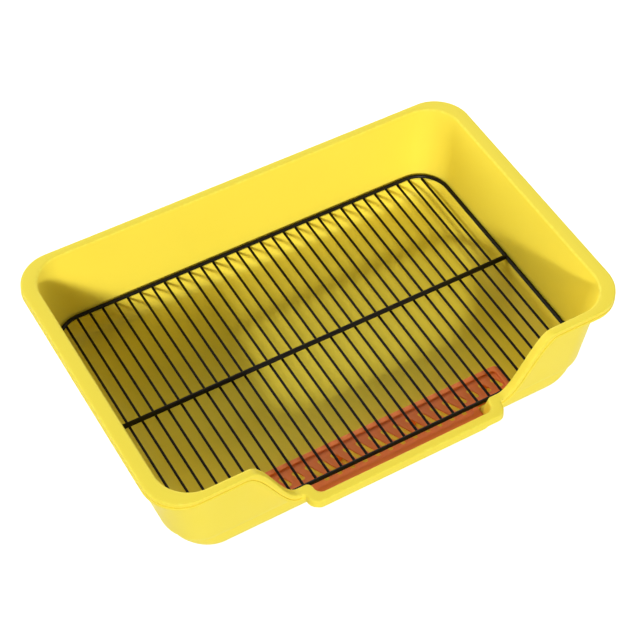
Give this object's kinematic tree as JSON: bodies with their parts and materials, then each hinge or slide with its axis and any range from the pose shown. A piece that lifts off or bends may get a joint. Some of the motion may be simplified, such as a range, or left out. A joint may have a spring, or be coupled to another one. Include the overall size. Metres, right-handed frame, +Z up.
{
  "type": "litter tray",
  "caption": "Rectangular plastic litter tray with a low curved entry, a lift-out wire rack over a drip space and a slotted foot grate behind the entry.",
  "frame": {"origin": "under the middle of the whole tray, on the face it stands on", "axes": "+X along the long side, +Y from the entry to the back, +Z up"},
  "size_m": [0.4328, 0.292, 0.1047],
  "materials": {
    "yellow_plastic": "satin moulded plastic",
    "black_wire": "black plastic-dipped steel wire",
    "orange_plastic": "satin moulded plastic"
  },
  "bodies": {
    "pan": {"pan": "yellow_plastic"},
    "rack": {"rack_frame": "black_wire", "rack_cross_wire": "black_wire", "rack_wire_01": "black_wire", "rack_wire_02": "black_wire", "rack_wire_03": "black_wire", "rack_wire_04": "black_wire", "rack_wire_05": "black_wire", "rack_wire_06": "black_wire", "rack_wire_07": "black_wire", "rack_wire_08": "black_wire", "rack_wire_09": "black_wire", "rack_wire_10": "black_wire", "rack_wire_11": "black_wire", "rack_wire_12": "black_wire", "rack_wire_13": "black_wire", "rack_wire_14": "black_wire", "rack_wire_15": "black_wire", "rack_wire_16": "black_wire", "rack_wire_17": "black_wire", "rack_wire_18": "black_wire", "rack_wire_19": "black_wire", "rack_wire_20": "black_wire", "rack_wire_21": "black_wire", "rack_wire_22": "black_wire", "rack_wire_23": "black_wire", "rack_wire_24": "black_wire", "rack_wire_25": "black_wire", "rack_wire_26": "black_wire", "rack_wire_27": "black_wire", "rack_wire_28": "black_wire", "rack_wire_29": "black_wire", "rack_wire_30": "black_wire", "rack_wire_31": "black_wire"},
    "foot_grate": {"foot_grate": "orange_plastic"}
  },
  "joints": [
    {"name": "rack_lift", "type": "slide", "parent": "pan", "child": "rack", "axis": [0, 0, 1], "range_m": [0, 0.2]},
    {"name": "foot_grate_lift", "type": "slide", "parent": "pan", "child": "foot_grate", "axis": [0, 0, 1], "range_m": [0, 0.11]}
  ],
  "couplings": [
    {"joint": "foot_grate_lift", "follows": "rack_lift", "ratio": 0.55}
  ]
}
